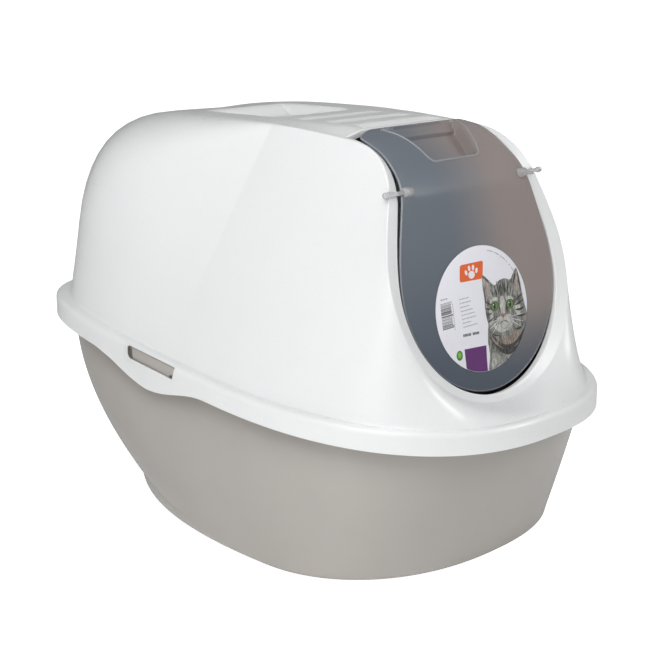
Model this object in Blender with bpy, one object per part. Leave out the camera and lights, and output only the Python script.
"""Cat litter box with hood: a deep tray, a tapered hood and a free-swinging door that wraps over the top.

Metres, +Z up. X runs across the box, the door faces -Y, and the origin is on the floor under the middle of it.
"""

import math

import bmesh
import bpy
import numpy as np
from mathutils import Matrix, Vector

# ---- driving dimensions ----
HALF_WIDTH = 0.200
HALF_LENGTH = 0.270
TOP_HEIGHT = 0.410
CREST_FRONT = 0.06
CREST_REAR = 0.10
CREST_FALL = 0.35
HOOD_WALL = 0.0025
TRAY_WALL = 0.0028
DOOR_WALL = 0.0022
JOIN_GAP = 0.0003

# The rim is a shallow smile seen from the side: low at the door, high at the rear.
RIM_MIDDLE = 0.178
RIM_TILT = 0.139
RIM_CURVE = 0.177
RIM_MID_Y = -0.004
RIM_FRONT_POWER = 2.52
RIM_REAR_POWER = 6.3

# Skirt of the hood
SKIRT_DEPTH = 0.0215
SKIRT_PROFILE = ((0, -0.0055), (0.0016, -0.0018), (0.0050, -0.0002), (0.0095, -0.0008), (0.012, 0.0005))
TONGUE_X = 0.180
TONGUE_BLEND = 0.015
TONGUE_Y = 0.0775
TONGUE_REACH = 0.085
TONGUE_DIP = 0.0165
WINDOW_FRONT = 0.034
WINDOW_REAR = 0.104
WINDOW_TOP = 0.002
WINDOW_BOTTOM = 0.0155
WINDOW_SLANT = 0.004
WINDOW_INNER_X = 0.190
WINDOW_OUTER_X = 0.206

# Door frame: outer edge of the band, and inner edge of the opening
BAND_FOOT = (-0.2160, 0.1564)
BAND_SHOULDER = (-0.1604, 0.3546)
BAND_HALF_WIDTH = 0.1348
BAND_WIDEST_Z = 0.277
BAND_POWER = 2.15
BAND_NARROWING = 0.146
RAIL_HALF_WIDTH = 0.0968
OPENING_FOOT = (-0.2090, 0.1618)
OPENING_SHOULDER = (-0.1618, 0.344)
OPENING_HALF_WIDTH = 0.1195
OPENING_WIDEST_Z = 0.2665
OPENING_POWER = 1.98
OPENING_NARROWING = 0.140
OPENING_TOP_HALF_WIDTH = 0.090
OPENING_REAR = -0.0885
FRAME_LIP = 0.006
ROLL_END = math.radians(84)

# Rear shoulder
REAR_HALF_WIDTH = 0.172
REAR_Y = 0.256
REAR_POWER = 4.5
WIDENING_START = -0.02
WIDENING_LENGTH = 0.23
EDGE_RADIUS = 0.0005
SHOULDER_RADIUS = 0.088
SHOULDER_DOWN = 1.25

# Recess and ribs on the top
RECESS_HALF_WIDTH = 0.060
RECESS_SIDE_BLEND = 0.010
RECESS_REAR = 0.138
RECESS_REAR_BLEND = 0.022
RECESS_START_DEPTH = 0.002
SCOOP_DEPTH = 0.012
SCOOP_START = 0.048
RIBS = (0.018, -0.020, -0.058)
RIB_HEIGHT = 0.004
RIB_HALF_SPAN = 0.010
SLOT_BEHIND_RIB = 0.0125
SLOT_WIDTH = 0.003
SLOT_HALF_LENGTH = 0.046
SLOT_CUT_BELOW = 0.030
SLOT_CUT_ABOVE = 0.010

# Door
PIVOT = (-0.1605, 0.358)
DOOR_FOOT = (-0.2019, 0.1630)
DOOR_SHOULDER = (-0.1650, 0.343)
DOOR_GAP = 0.0029
DOOR_REAR = -0.0975
DOOR_PROUD = 0.0015
PIN_STEP = 0.0940
NOTCH_START = 0.0955
NOTCH_END = 0.125
NOTCH_CLEARANCE = 0.0012
PIN_RADIUS = 0.0024
PIN_INNER = 0.0865
PIN_OUTER = 0.121
PIN_TIP = ((0.007, 0.0), (0.004, 0.0008), (0.001, 0.0002))
PIN_SIDES = 16
BOSS_RADIUS = 0.005
BOSS_INNER = 0.083
POCKET_MIDDLE = (-0.1330, 0.3915)
POCKET_SLOPE = math.radians(30)
POCKET_LENGTH = 0.046
POCKET_LOW_HALF = 0.0353
POCKET_HIGH_HALF = 0.0530
POCKET_DEPTH = 0.018
POCKET_CORNER = 0.006
POCKET_CLEAR = 0.015
POCKET_ROOT = 0.001
LABEL_HALF_WIDTH = 0.071
LABEL_HALF_HEIGHT = 0.0595
LABEL_X = -0.0044
LABEL_HEIGHT = 0.2404
LABEL_THICKNESS = 0.0004
LABEL_SIDES = 48

# Tray
TRAY_FOOT_HALF_WIDTH = 0.182
TRAY_FOOT_FRONT = -0.209
TRAY_FOOT_REAR = 0.210
TRAY_FOOT_MID_Y = -0.065
TRAY_FOOT_FRONT_POWER = 2.3
TRAY_FOOT_REAR_POWER = 2.9
TRAY_ROUNDING_START = -0.10
TRAY_ROUNDING_LENGTH = 0.30
TRAY_CORNER_FRONT = 0.005
TRAY_CORNER_REAR = 0.038
TRAY_BULGE_FRONT = 0.002
TRAY_BULGE_REAR = 0.0155
TRAY_LIP_EDGE = 0.0045
TRAY_WALL_INSET = 0.0155
LIP_DROP = 0.0072
LIP_RADIUS = 0.002
LIP_ROOT = 0.004
CATCH_SIDE_GAP = 0.003
CATCH_BELOW_GAP = 0.002
CATCH_RISE = 0.0012
CATCH_PROUD = 0.0009
CATCH_ROOT = 0.001

# Filter under the top
FILTER_HALF_WIDTH = 0.052
FILTER_FRONT = -0.062
FILTER_REAR = 0.040
FILTER_THICKNESS = 0.006
FILTER_TOP = 0.3825
HOLDER_WALL = 0.002
HOLDER_RIM = 0.001
HOLDER_BAR = 0.004
HOLDER_CELLS = 3
CUT_PAST = 0.010

# Fineness of the meshes
FRONT_STATIONS = 24
RIB_STATIONS = 14
REAR_STATIONS = 15
WALL_STEPS = np.linspace(0, 1, 6)[1:]
TURN_STEPS = np.linspace(0, 1, 6)[1:]
TOP_STEPS = (0.04, 0.30, 0.38, 0.46, 0.72, 1.0)
DOOR_STATIONS = 26
TRAY_STATIONS = 40
ON_TOP = 0.020
BEHIND_RIBS = 0.014

SIDES = (("left", -1), ("right", 1))
CABIN_MIDDLE = Vector((0, 0, 0.2))


# ---- point helpers ----
def smooth(t):
    t = np.clip(t, 0, 1)
    return t * t * (3 - 2 * t)


def distances(points):
    return np.r_[0, np.cumsum(np.linalg.norm(np.diff(points, axis=0), axis=1))]


def along(points, where):
    """Points at the given distances along a polyline."""
    s = distances(points)
    return np.stack([np.interp(where, s, column) for column in np.asarray(points).T], 1)


def half_plan(half_width, middle, front, rear, front_power, rear_power):
    """Right half of a plan outline, front centre to rear centre, as two quarter superellipses."""
    t = np.linspace(0, math.pi / 2, 300)
    front_x = half_width * np.sin(t) ** (2 / front_power)
    front_y = middle + (front - middle) * np.cos(t) ** (2 / front_power)
    rear_x = half_width * np.cos(t) ** (2 / rear_power)
    rear_y = middle + (rear - middle) * np.sin(t) ** (2 / rear_power)
    return np.r_[np.c_[front_x, front_y], np.c_[rear_x, rear_y][1:]]


def rim_height(y):
    return RIM_MIDDLE + RIM_TILT * y + RIM_CURVE * y * y


def top_height(y):
    """Crown of the hood along its length."""
    before = np.minimum(y - CREST_FRONT, 0)
    behind = np.maximum(y - CREST_REAR, 0)
    return TOP_HEIGHT - CREST_FALL * (before**2 + behind**2)


def rim_outline(inset, rise, stations):
    """Right half of the rim's outline, moved in by inset and up by rise, at shares of its length."""
    front, rear = inset - HALF_LENGTH, HALF_LENGTH - inset
    plan = half_plan(HALF_WIDTH - inset, RIM_MID_Y, front, rear, RIM_FRONT_POWER, RIM_REAR_POWER)
    plan = along(plan, stations * distances(plan)[-1])
    return np.c_[plan, rim_height(plan[:, 1]) + rise]


def roll_over(foot, shoulder, rear, rise=0.0):
    """Side view of the door frame: a leaning line, a roll-over arc and the crowned top, as (y, z) points."""
    (y0, z0), (y1, z1) = foot, shoulder
    lean = math.atan2(y1 - y0, z1 - z0)
    low, high = 0.02, 0.3
    for _ in range(50):
        radius = (low + high) / 2
        y = y1 + radius * (math.cos(lean) - math.cos(ROLL_END))
        z = z1 + radius * (math.sin(ROLL_END) - math.sin(lean))
        if z < top_height(y) + rise:
            low = radius
        else:
            high = radius
    line = np.linspace(foot, shoulder, 80)
    turn = np.linspace(lean, ROLL_END, 80)[1:]
    arc_y = y1 + radius * (math.cos(lean) - np.cos(turn))
    arc_z = z1 + radius * (np.sin(turn) - math.sin(lean))
    arc = np.c_[arc_y, arc_z]
    back = np.linspace(arc[-1, 0], rear, 80)[1:]
    return np.r_[line, arc, np.c_[back, top_height(back) + rise]]


def frame_edge(foot, shoulder, widest_z, half_width, top_half_width, power, narrowing, rear, rise=0.0):
    """Right half of an egg-shaped edge that lies on the roll-over, from its lowest point to y = rear."""
    lean = (shoulder[0] - foot[0]) / (shoulder[1] - foot[1])
    turn = np.linspace(0, math.pi / 2, 120)
    z = widest_z - (widest_z - foot[1]) * np.cos(turn) ** (2 / power)
    bowl = np.c_[half_width * np.sin(turn) ** (2 / power), foot[0] + lean * (z - foot[1]), z]
    path = roll_over(foot, shoulder, rear, rise)
    start = int(np.argmax(path[:, 1] >= widest_z))
    s = distances(path)
    width = half_width - (half_width - top_half_width) * smooth((s - s[start]) / narrowing)
    return np.r_[bowl, np.c_[width, path][start + 1 :]]


def widening(y):
    """0 where the top is narrow behind the door, 1 where it is full at the rear."""
    return smooth((y - WIDENING_START) / WIDENING_LENGTH)


def band_edge():
    """Outer edge of the door band, and the virtual top edge of the hood behind it."""
    front = frame_edge(
        BAND_FOOT,
        BAND_SHOULDER,
        BAND_WIDEST_Z,
        BAND_HALF_WIDTH,
        RAIL_HALF_WIDTH,
        BAND_POWER,
        BAND_NARROWING,
        0.0,
    )
    turn = np.linspace(0, math.pi / 2, 160)[1:]
    y = REAR_Y * np.sin(turn) ** (2 / REAR_POWER)
    half_width = RAIL_HALF_WIDTH + (REAR_HALF_WIDTH - RAIL_HALF_WIDTH) * widening(y)
    rear = np.c_[half_width * np.cos(turn) ** (2 / REAR_POWER), y, top_height(y)]
    return np.r_[front, rear]


def opening_edge():
    return frame_edge(
        OPENING_FOOT,
        OPENING_SHOULDER,
        OPENING_WIDEST_Z,
        OPENING_HALF_WIDTH,
        OPENING_TOP_HALF_WIDTH,
        OPENING_POWER,
        OPENING_NARROWING,
        OPENING_REAR,
    )


def recess_depth(x, y):
    """How far the top panel lies below the crown: a scoop at the rear, then ribs that climb to the door."""
    beside = smooth((RECESS_HALF_WIDTH - np.abs(x)) / RECESS_SIDE_BLEND)
    ahead = smooth((RECESS_REAR - y) / RECESS_REAR_BLEND)
    floor = np.interp(y, [OPENING_REAR, SCOOP_START], [RECESS_START_DEPTH, SCOOP_DEPTH])
    ribs = sum(smooth(1 - np.abs(y - rib) / RIB_HALF_SPAN) for rib in RIBS)
    return beside * ahead * (floor - RIB_HEIGHT * ribs)


# ---- scene helpers ----
def clear_scene():
    for item in list(bpy.data.objects):
        bpy.data.objects.remove(item)


def plastic(name, colour, roughness, transmission=0.0):
    material = bpy.data.materials.new(name)
    material.use_nodes = True
    shader = material.node_tree.nodes["Principled BSDF"]
    shader.inputs["Base Color"].default_value = (*colour, 1)
    shader.inputs["Roughness"].default_value = roughness
    shader.inputs["Metallic"].default_value = 0
    shader.inputs["Transmission Weight"].default_value = transmission
    return material


def add_object(name, bm, material=None, origin=(0, 0, 0), parent=None):
    """Turns a bmesh into a named object whose origin is at the given point, its faces pointing out."""
    bmesh.ops.recalc_face_normals(bm, faces=bm.faces)
    facing = [face.calc_area() * face.normal.dot(face.calc_center_median() - CABIN_MIDDLE) for face in bm.faces]
    if any(edge.is_boundary for edge in bm.edges) and sum(facing) < 0:
        bmesh.ops.reverse_faces(bm, faces=bm.faces)
    bm.transform(Matrix.Translation(-Vector(origin)))
    mesh = bpy.data.meshes.new(name)
    bm.to_mesh(mesh)
    bm.free()
    item = bpy.data.objects.new(name, mesh)
    bpy.context.scene.collection.objects.link(item)
    if material:
        mesh.materials.append(material)
    if parent:
        item.parent = parent
        item.location = Vector(origin) - parent.location
    else:
        item.location = origin
    return item


def add_cutter(name, bm, location=(0, 0, 0)):
    cutter = add_object(name, bm, origin=location)
    cutter.hide_render = True
    cutter.display_type = "WIRE"
    return cutter


def boolean(item, cutter, operation="DIFFERENCE"):
    modifier = item.modifiers.new(cutter.name, "BOOLEAN")
    modifier.operation = operation
    modifier.object = cutter


def mirror(item):
    modifier = item.modifiers.new("mirror", "MIRROR")
    modifier.merge_threshold = 0.00002


def solidify(item, thickness):
    modifier = item.modifiers.new("wall", "SOLIDIFY")
    modifier.thickness = thickness
    modifier.offset = -1


def smooth_shading(item, angle=35):
    item.data.shade_smooth()
    item.data.set_sharp_from_angle(angle=math.radians(angle))


def quads(bm, rows):
    """Faces between neighbouring rows of vertices; a quad that has closed up is left out."""
    for low, high in zip(rows, rows[1:]):
        for a, b, c, d in zip(low, low[1:], high[1:], high):
            corners = list(dict.fromkeys((a, b, c, d)))
            if len(corners) > 2:
                bm.faces.new(corners)


def vertex_maker(bm):
    """Returns a function that gives one vertex for each place."""
    known = {}

    def vertex(point):
        x = 0.0 if abs(point[0]) < 1e-5 else float(point[0])
        key = (round(x, 6), round(float(point[1]), 6), round(float(point[2]), 6))
        if key not in known:
            known[key] = bm.verts.new((x, float(point[1]), float(point[2])))
        return known[key]

    return vertex


def prism(bm, outline, start, end):
    """Closed prism of an outline, given as 3-D points, between two shifts of it."""
    low = [bm.verts.new(Vector(p) + Vector(start)) for p in outline]
    high = [bm.verts.new(Vector(p) + Vector(end)) for p in outline]
    bm.faces.new(low)
    bm.faces.new(high)
    for i in range(len(outline)):
        j = (i + 1) % len(outline)
        bm.faces.new((low[i], low[j], high[j], high[i]))


def block(bm, low, high):
    centre = (Vector(low) + Vector(high)) / 2
    size = Vector(high) - Vector(low)
    bmesh.ops.create_cube(bm, size=1, matrix=Matrix.Translation(centre) @ Matrix.Diagonal((*size, 1)))


def rod(bm, x0, x1, radius, segments=20):
    """Round rod on the door's pivot axis."""
    place = Matrix.Translation(((x0 + x1) / 2, *PIVOT)) @ Matrix.Rotation(math.pi / 2, 4, "Y")
    bmesh.ops.create_cone(
        bm, cap_ends=True, segments=segments, radius1=radius, radius2=radius, depth=x1 - x0, matrix=place
    )


# ---- hood ----
def edge_stations(edge):
    """Distances along the band edge: even up to the rear of the opening, then fine over the ribs."""
    s = distances(edge)
    on_top = edge[:, 2] > edge[:, 2].max() - ON_TOP
    opening = float(np.interp(OPENING_REAR, edge[on_top, 1], s[on_top]))
    ribs_end = float(np.interp(RIBS[0] + BEHIND_RIBS, edge[on_top, 1], s[on_top]))
    front = np.linspace(0, opening, FRONT_STATIONS + 1)
    ribs = np.linspace(opening, ribs_end, RIB_STATIONS + 1)[1:]
    rear = np.linspace(ribs_end, s[-1], REAR_STATIONS + 1)[1:]
    return np.r_[front, ribs, rear], s[-1]


def skirt_rows(stations):
    """Rows from the skirt's lower edge over its rounded ridge and the ledge to the foot of the wall."""
    low = rim_outline(0, -SKIRT_DEPTH, stations)
    beside = smooth((low[:, 0] - TONGUE_X) / TONGUE_BLEND)
    bump = np.cos(np.clip((low[:, 1] - TONGUE_Y) / TONGUE_REACH, -1, 1) * math.pi / 2) ** 2
    low[:, 2] -= TONGUE_DIP * bump * beside
    return [low] + [rim_outline(inset, rise, stations) for inset, rise in SKIRT_PROFILE]


def shoulder_points(base, corner):
    """Where a wall leaves its straight line, where the top starts, and the top's middle, behind the door."""
    spine_y = float(np.clip(corner[1], OPENING_REAR, RECESS_REAR))
    spine = np.array([0, spine_y, top_height(spine_y)])
    down, inward = base - corner, spine - corner
    wall_length, top_length = np.linalg.norm(down), np.linalg.norm(inward)
    radius = EDGE_RADIUS + SHOULDER_RADIUS * widening(corner[1])
    below = corner + down / wall_length * min(radius * SHOULDER_DOWN, wall_length * 0.8)
    inside = corner + inward / top_length * min(radius, top_length * 0.9)
    return below, inside, spine


def front_column(base, corner):
    """Points up the wall from the ledge to the edge of the door band."""
    wall = [base + (corner - base) * step for step in WALL_STEPS]
    return wall + [wall[-1]] * len(TURN_STEPS)


def rear_column(base, corner):
    """Points up the wall and round the shoulder, and points across the top to its middle."""
    below, inside, spine = shoulder_points(base, corner)
    column = [base + (below - base) * step for step in WALL_STEPS]
    for t in TURN_STEPS:
        column.append(below * (1 - t) ** 2 + 2 * t * (1 - t) * corner + inside * t * t)
    across = [column[-1]]
    for step in TOP_STEPS:
        point = inside + (spine - inside) * step
        across.append(point - np.array([0, 0, recess_depth(point[0], point[1])]))
    return column, across


def frame_faces(bm, vertex, band, opening, rear_row):
    """The band falls from its outer edge to the opening, and a lip turns in behind it."""
    tangent = np.gradient(opening[:, 1:], axis=0)
    tangent[0] = tangent[1] = tangent[2]
    tangent /= np.linalg.norm(tangent, axis=1)[:, None]
    inner = [vertex(point) for point in opening[:-1]]
    inward = [FRAME_LIP * np.array([0, t[1], -t[0]]) for t in tangent]
    lip = [vertex(point + step) for point, step in zip(opening[:-1], inward)]
    quads(bm, [band + [rear_row[0]], inner + [rear_row[1]]])
    lip_rear = [vertex(np.array(v.co) - np.array([0, 0, FRAME_LIP])) for v in rear_row[1:]]
    quads(bm, [inner + rear_row[1:], lip + lip_rear])


def hood_surface():
    """Outer skin of the right half of the hood, with the door opening left open."""
    edge_line = band_edge()
    where, length = edge_stations(edge_line)
    edge = along(edge_line, where)
    rows = skirt_rows(where / length)
    opening_line = opening_edge()
    shares = where[: FRONT_STATIONS + 1] / where[FRONT_STATIONS]
    opening = along(opening_line, shares * distances(opening_line)[-1])

    bm = bmesh.new()
    vertex = vertex_maker(bm)
    columns, tops = [], []
    for k, (base, corner) in enumerate(zip(rows[-1], edge)):
        column = front_column(base, corner)
        if k >= FRONT_STATIONS:
            column, across = rear_column(base, corner)
            if k == FRONT_STATIONS:
                across[1] = opening[-1]
            tops.append([vertex(point) for point in across])
        columns.append([vertex(row[k]) for row in rows] + [vertex(point) for point in column])
    quads(bm, columns)
    quads(bm, tops)
    band = [column[-1] for column in columns[:FRONT_STATIONS]]
    frame_faces(bm, vertex, band, opening, tops[0])
    return bm


def window_cutter(side):
    """Cutter for the slot in the skirt that the tray's catch shows through."""
    corners = (
        (WINDOW_FRONT, rim_height(WINDOW_FRONT) - WINDOW_TOP),
        (WINDOW_REAR, rim_height(WINDOW_REAR) - WINDOW_TOP),
        (WINDOW_REAR, rim_height(WINDOW_REAR) - WINDOW_BOTTOM),
        (WINDOW_FRONT + WINDOW_SLANT, rim_height(WINDOW_FRONT) - WINDOW_BOTTOM),
    )
    outline = [(0, y, z) for y, z in corners]
    bm = bmesh.new()
    prism(bm, outline, (side * WINDOW_INNER_X, 0, 0), (side * WINDOW_OUTER_X, 0, 0))
    return bm


def notch_cutter(side):
    """Cutter for the open notch in the door frame that a hinge pin lies in."""
    bm = bmesh.new()
    rod(bm, side * NOTCH_START, side * NOTCH_END, PIN_RADIUS + NOTCH_CLEARANCE, PIN_SIDES)
    return bm


def slot_cutter(y):
    bm = bmesh.new()
    low = (-SLOT_HALF_LENGTH, y - SLOT_WIDTH / 2, TOP_HEIGHT - SLOT_CUT_BELOW)
    block(bm, low, (SLOT_HALF_LENGTH, y + SLOT_WIDTH / 2, TOP_HEIGHT + SLOT_CUT_ABOVE))
    return bm


def hood_shell(material):
    hood = add_object("hood_shell", hood_surface(), material)
    mirror(hood)
    solidify(hood, HOOD_WALL)
    for name, side in SIDES:
        boolean(hood, add_cutter(f"window_cutter_{name}", window_cutter(side)))
        boolean(hood, add_cutter(f"notch_cutter_{name}", notch_cutter(side)))
    for number, rib in enumerate(RIBS):
        boolean(hood, add_cutter(f"slot_cutter_{number}", slot_cutter(rib + SLOT_BEHIND_RIB)))
    smooth_shading(hood)


# ---- door ----
def door_surface():
    """Outer face of the door's right half: the opening's outline less the gap, bent along the door line."""
    edge = frame_edge(
        DOOR_FOOT,
        DOOR_SHOULDER,
        OPENING_WIDEST_Z,
        OPENING_HALF_WIDTH - DOOR_GAP,
        OPENING_TOP_HALF_WIDTH - DOOR_GAP,
        OPENING_POWER,
        OPENING_NARROWING,
        DOOR_REAR,
        DOOR_PROUD,
    )
    edge = along(edge, np.linspace(0, distances(edge)[-1], DOOR_STATIONS + 1))
    bm = bmesh.new()
    vertex = vertex_maker(bm)
    rows = []
    for x, y, z in edge:
        rows.append([vertex((x * share, y, z)) for share in np.linspace(0, 1, 7)])
    quads(bm, rows)
    return bm


def pocket_outline(grow):
    """Corners of the grip pocket in the plane of the roll-over, low edge first, grown by grow."""
    along_slope = Vector((0, math.cos(POCKET_SLOPE), math.sin(POCKET_SLOPE)))
    half = POCKET_LENGTH / 2 + grow
    low, high, cut = POCKET_LOW_HALF + grow, POCKET_HIGH_HALF + grow, POCKET_CORNER
    shape = (
        (-low + cut, -half),
        (low - cut, -half),
        (low, -half + cut),
        (high, half - cut),
        (high - cut, half),
        (-high + cut, half),
        (-high, half - cut),
        (-low, -half + cut),
    )
    return [Vector((x, *POCKET_MIDDLE)) + along_slope * t for x, t in shape]


def pocket_prism(grow, top, bottom):
    outward = Vector((0, -math.sin(POCKET_SLOPE), math.cos(POCKET_SLOPE)))
    bm = bmesh.new()
    prism(bm, pocket_outline(grow), outward * bottom, outward * top)
    return bm


def door_flap(material, pivot):
    door = add_object("door_flap", door_surface(), material, (0, *PIVOT), pivot)
    mirror(door)
    solidify(door, DOOR_WALL)
    for name, side in SIDES:
        bm = bmesh.new()
        rod(bm, side * BOSS_INNER, side * PIN_STEP, BOSS_RADIUS)
        boolean(door, add_cutter(f"boss_{name}", bm), "UNION")
    tub = pocket_prism(0, -POCKET_ROOT, -POCKET_DEPTH)
    boolean(door, add_cutter("pocket_tub", tub), "UNION")
    hollow = pocket_prism(-DOOR_WALL, POCKET_CLEAR, DOOR_WALL - POCKET_DEPTH)
    boolean(door, add_cutter("pocket_hollow", hollow))
    for name, side in SIDES:
        bm = bmesh.new()
        rod(bm, side * (PIN_INNER - JOIN_GAP), side * NOTCH_END, PIN_RADIUS + JOIN_GAP)
        boolean(door, add_cutter(f"pin_hole_{name}", bm))
    smooth_shading(door)


def hinge_pin(name, side, material, pivot):
    """Clear peg: a round pin with a ball-like tip that stands out past the frame."""
    tip = [(PIN_OUTER - back, PIN_RADIUS + swell) for back, swell in PIN_TIP]
    profile = [(PIN_INNER, 0), (PIN_INNER, PIN_RADIUS), *tip, (PIN_OUTER, 0)]
    bm = bmesh.new()
    rings = []
    for x, radius in profile:
        ring = []
        for turn in np.linspace(0, 2 * math.pi, PIN_SIDES, endpoint=False) if radius else [0]:
            y, z = PIVOT[0] + radius * math.cos(turn), PIVOT[1] + radius * math.sin(turn)
            ring.append(bm.verts.new((side * x, y, z)))
        rings.append(ring if radius else ring * PIN_SIDES)
    quads(bm, [ring + ring[:1] for ring in rings])
    pin = add_object(name, bm, material, (0, *PIVOT), pivot)
    smooth_shading(pin)


def door_label(material, pivot):
    """Broad oval sticker on the flat part of the door."""
    lean = (DOOR_SHOULDER[0] - DOOR_FOOT[0]) / (DOOR_SHOULDER[1] - DOOR_FOOT[1])
    y = DOOR_FOOT[0] + lean * (LABEL_HEIGHT - DOOR_FOOT[1])
    outward = Vector((0, -1, lean)).normalized()
    upward = Vector((0, lean, 1)).normalized()
    middle = Vector((LABEL_X, y, LABEL_HEIGHT)) + outward * JOIN_GAP
    bm = bmesh.new()
    outline = []
    for turn in np.linspace(0, 2 * math.pi, LABEL_SIDES, endpoint=False):
        across = Vector((LABEL_HALF_WIDTH * math.cos(turn), 0, 0))
        outline.append(middle + across + upward * (LABEL_HALF_HEIGHT * math.sin(turn)))
    prism(bm, outline, (0, 0, 0), outward * LABEL_THICKNESS)
    add_object("door_label", bm, material, (0, *PIVOT), pivot)


# ---- tray ----
def tray_foot(stations):
    """Right half of the tray's outline where it stands, and the direction outward at each point."""
    foot = half_plan(
        TRAY_FOOT_HALF_WIDTH,
        TRAY_FOOT_MID_Y,
        TRAY_FOOT_FRONT,
        TRAY_FOOT_REAR,
        TRAY_FOOT_FRONT_POWER,
        TRAY_FOOT_REAR_POWER,
    )
    foot = along(foot, stations * distances(foot)[-1])
    foot = np.c_[foot, np.zeros(len(foot))]
    tangent = np.gradient(foot, axis=0)
    outward = np.c_[tangent[:, 1], -tangent[:, 0], np.zeros(len(foot))]
    outward[0], outward[-1] = (0, -1, 0), (0, 1, 0)
    return foot, outward / np.linalg.norm(outward, axis=1)[:, None]


def tray_rows(stations):
    """Rows from the middle of the floor, round the bottom corner and up the bulging wall to the lip."""
    foot, outward = tray_foot(stations)
    shoulder = rim_outline(TRAY_WALL_INSET, -SKIRT_DEPTH, stations)
    rearward = smooth((foot[:, 1:2] - TRAY_ROUNDING_START) / TRAY_ROUNDING_LENGTH)
    corner = TRAY_CORNER_FRONT + (TRAY_CORNER_REAR - TRAY_CORNER_FRONT) * rearward
    bulge = TRAY_BULGE_FRONT + (TRAY_BULGE_REAR - TRAY_BULGE_FRONT) * rearward
    up = np.array([0, 0, 1])
    flat = foot - outward * corner
    rows = [flat * (share, 1, 1) for share in (0, 0.35, 0.7)]
    for turn in np.linspace(0, math.pi / 2, 5):
        level = foot - outward * corner * (1 - math.sin(turn))
        rows.append(level + up * corner * (1 - math.cos(turn)))
    start = rows[-1]
    for step in np.linspace(0, 1, 8)[1:]:
        rows.append(start + (shoulder - start) * step + outward * bulge * 4 * step * (1 - step))
    rows.append(rim_outline(TRAY_WALL_INSET, -LIP_DROP - LIP_ROOT, stations))
    rows.append(rim_outline(TRAY_WALL_INSET - LIP_RADIUS, -LIP_DROP, stations))
    rows.append(rim_outline(TRAY_LIP_EDGE, -LIP_DROP, stations))
    return rows


def tray_surface():
    """Outer skin of the tray's right half."""
    bm = bmesh.new()
    vertex = vertex_maker(bm)
    rows = tray_rows(np.linspace(0, 1, TRAY_STATIONS + 1))
    quads(bm, [[vertex(point) for point in row] for row in rows])
    return bm


def catch_block(side):
    """Catch on the tray's wall that fills the window in the skirt."""
    front, rear = WINDOW_FRONT + CATCH_SIDE_GAP, WINDOW_REAR - CATCH_SIDE_GAP
    top, bottom = CATCH_RISE - LIP_DROP, CATCH_BELOW_GAP - WINDOW_BOTTOM
    outline = [
        (0, front, rim_height(front) + top),
        (0, rear, rim_height(rear) + top),
        (0, rear, rim_height(rear) + bottom),
        (0, front, rim_height(front) + bottom),
    ]
    inner = HALF_WIDTH - TRAY_WALL_INSET - CATCH_ROOT
    outer = HALF_WIDTH - TRAY_LIP_EDGE + CATCH_PROUD
    bm = bmesh.new()
    prism(bm, outline, (side * inner, 0, 0), (side * outer, 0, 0))
    return bm


def base_tray(material):
    tray = add_object("base_tray", tray_surface(), material)
    mirror(tray)
    solidify(tray, TRAY_WALL)
    for name, side in SIDES:
        boolean(tray, add_cutter(f"catch_{name}", catch_block(side)), "UNION")
    smooth_shading(tray)


# ---- filter ----
def filter_holder(material):
    """Open frame with a rim round the pad and cross bars under it."""
    side = FILTER_HALF_WIDTH + JOIN_GAP
    front, rear = FILTER_FRONT - JOIN_GAP, FILTER_REAR + JOIN_GAP
    floor = FILTER_TOP - FILTER_THICKNESS - JOIN_GAP
    wall = Vector((HOLDER_WALL, HOLDER_WALL, 0))
    bm = bmesh.new()
    low = Vector((-side, front, floor - HOLDER_WALL)) - wall
    block(bm, low, Vector((side, rear, FILTER_TOP + HOLDER_RIM)) + wall)
    holder = add_object("filter_holder", bm, material)
    bm = bmesh.new()
    block(bm, (-side, front, floor), (side, rear, FILTER_TOP + CUT_PAST))
    boolean(holder, add_cutter("holder_hollow", bm))
    width = (2 * side - (HOLDER_CELLS + 1) * HOLDER_BAR) / HOLDER_CELLS
    depth = (rear - front - (HOLDER_CELLS + 1) * HOLDER_BAR) / HOLDER_CELLS
    bm = bmesh.new()
    for column in range(HOLDER_CELLS):
        for line in range(HOLDER_CELLS):
            x = -side + HOLDER_BAR + column * (width + HOLDER_BAR)
            y = front + HOLDER_BAR + line * (depth + HOLDER_BAR)
            block(bm, (x, y, floor - CUT_PAST), (x + width, y + depth, floor + HOLDER_WALL))
    boolean(holder, add_cutter("holder_grille", bm))


def carbon_filter(material):
    bm = bmesh.new()
    low = (-FILTER_HALF_WIDTH, FILTER_FRONT, FILTER_TOP - FILTER_THICKNESS)
    block(bm, low, (FILTER_HALF_WIDTH, FILTER_REAR, FILTER_TOP))
    add_object("carbon_filter", bm, material)


def build():
    clear_scene()
    white = plastic("gloss_white", (0.86, 0.87, 0.87), 0.25)
    taupe = plastic("gloss_taupe", (0.50, 0.46, 0.43), 0.3)
    smoke = plastic("smoke_clear", (0.25, 0.27, 0.30), 0.1, 0.8)
    clear = plastic("clear", (0.85, 0.86, 0.88), 0.1, 0.8)
    paper = plastic("label_paper", (0.88, 0.88, 0.92), 0.5)
    foam = plastic("carbon_foam", (0.03, 0.03, 0.03), 0.95)
    pivot = bpy.data.objects.new("door_pivot", None)
    pivot.location = (0, *PIVOT)
    bpy.context.scene.collection.objects.link(pivot)
    base_tray(taupe)
    hood_shell(white)
    door_flap(smoke, pivot)
    for name, side in SIDES:
        hinge_pin(f"hinge_pin_{name}", side, clear, pivot)
    door_label(paper, pivot)
    filter_holder(white)
    carbon_filter(foam)


build()
